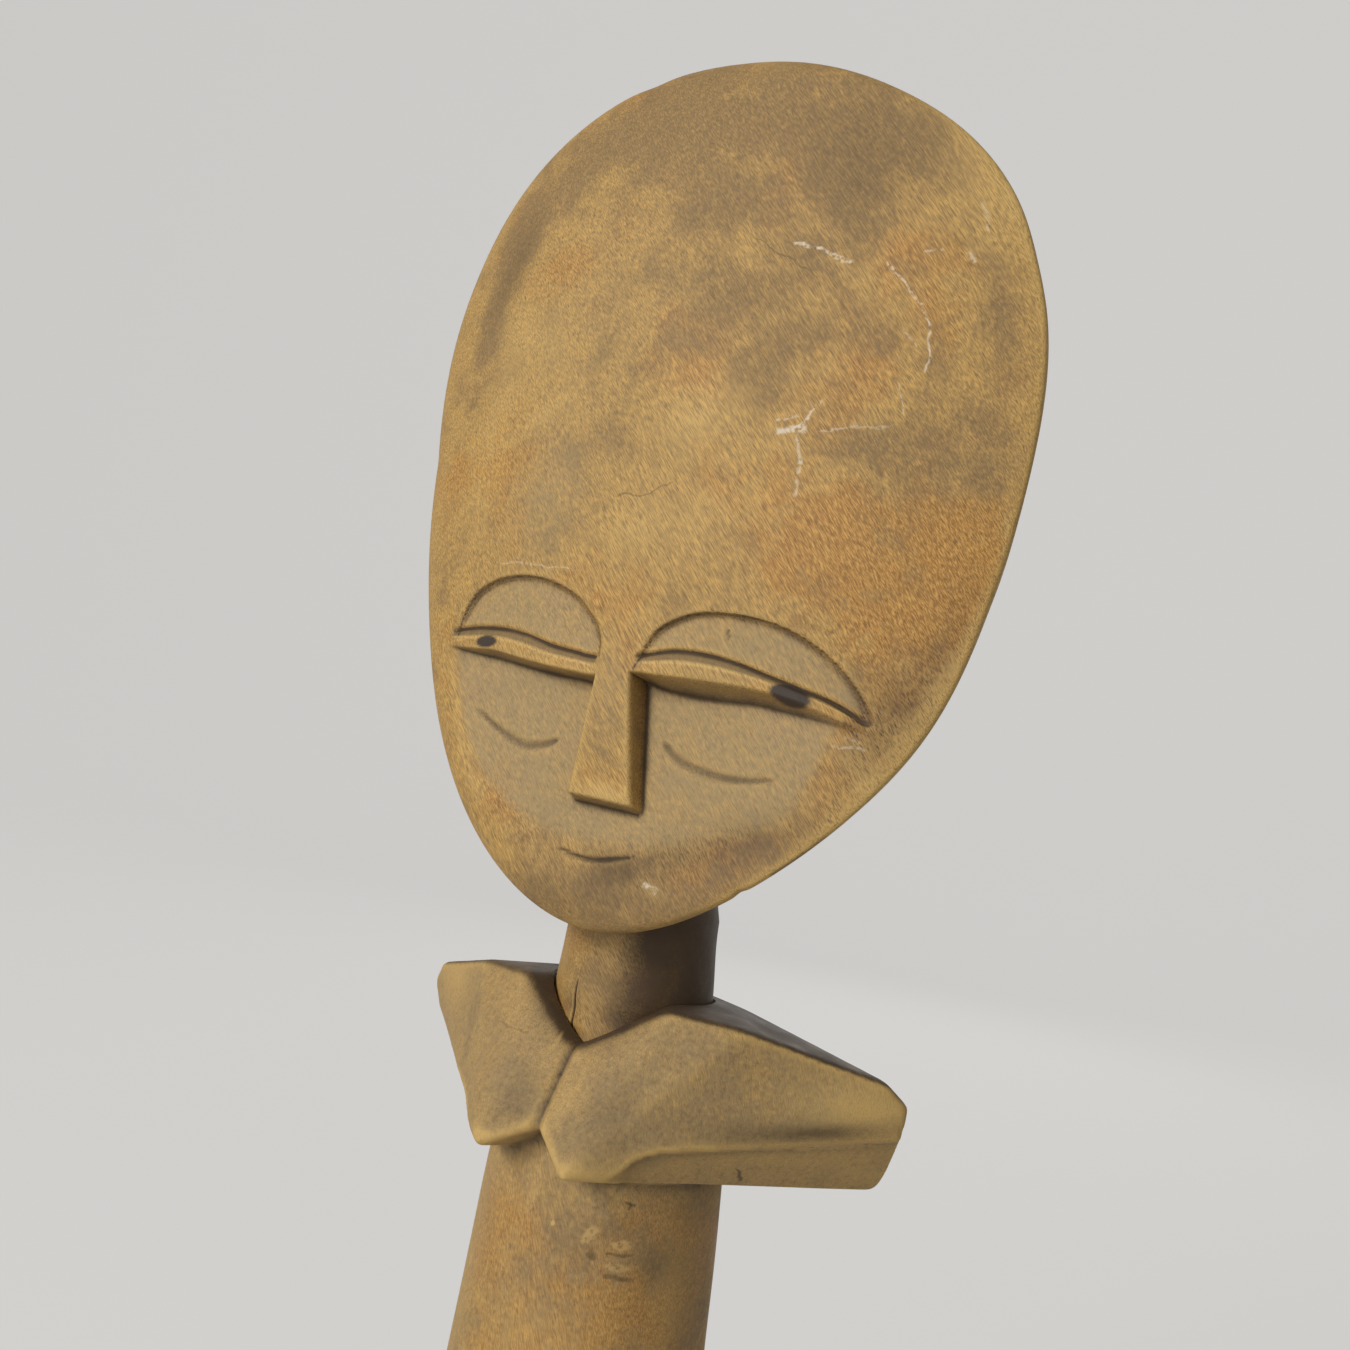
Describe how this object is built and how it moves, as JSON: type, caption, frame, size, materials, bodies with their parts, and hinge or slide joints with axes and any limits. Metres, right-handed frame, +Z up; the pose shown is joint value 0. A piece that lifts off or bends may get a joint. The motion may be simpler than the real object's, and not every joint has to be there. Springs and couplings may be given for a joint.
{
  "type": "wooden fertility doll",
  "caption": "Carved wooden doll with a large flat egg-shaped head and carved face on a round neck that turns and lifts off a peg in a round, flat-based body with short arm stubs.",
  "frame": {"origin": "middle of the flat base the doll stands on", "axes": "+Z up along the body, the face looks along -Y, +X to the right of someone facing the doll"},
  "size_m": [0.1452, 0.0705, 0.3989],
  "materials": {
    "body_wood": "oiled and worn, with grey-brown stain",
    "head_wood": "oiled and worn, with grey-brown stain and dark carved lines",
    "peg_wood": "bare wood"
  },
  "bodies": {
    "body": {"body": "body_wood"},
    "neck_peg": {"neck_peg": "peg_wood"},
    "head": {"head": "head_wood"}
  },
  "joints": [
    {"name": "neck_turn", "type": "hinge", "parent": "body", "child": "neck_peg", "pos_m": [0, 0, 0.19], "axis": [0, 0, 1], "continuous": true},
    {"name": "head_lift", "type": "slide", "parent": "neck_peg", "child": "head", "axis": [0, 0, 1], "range_m": [0, 0.03]}
  ]
}
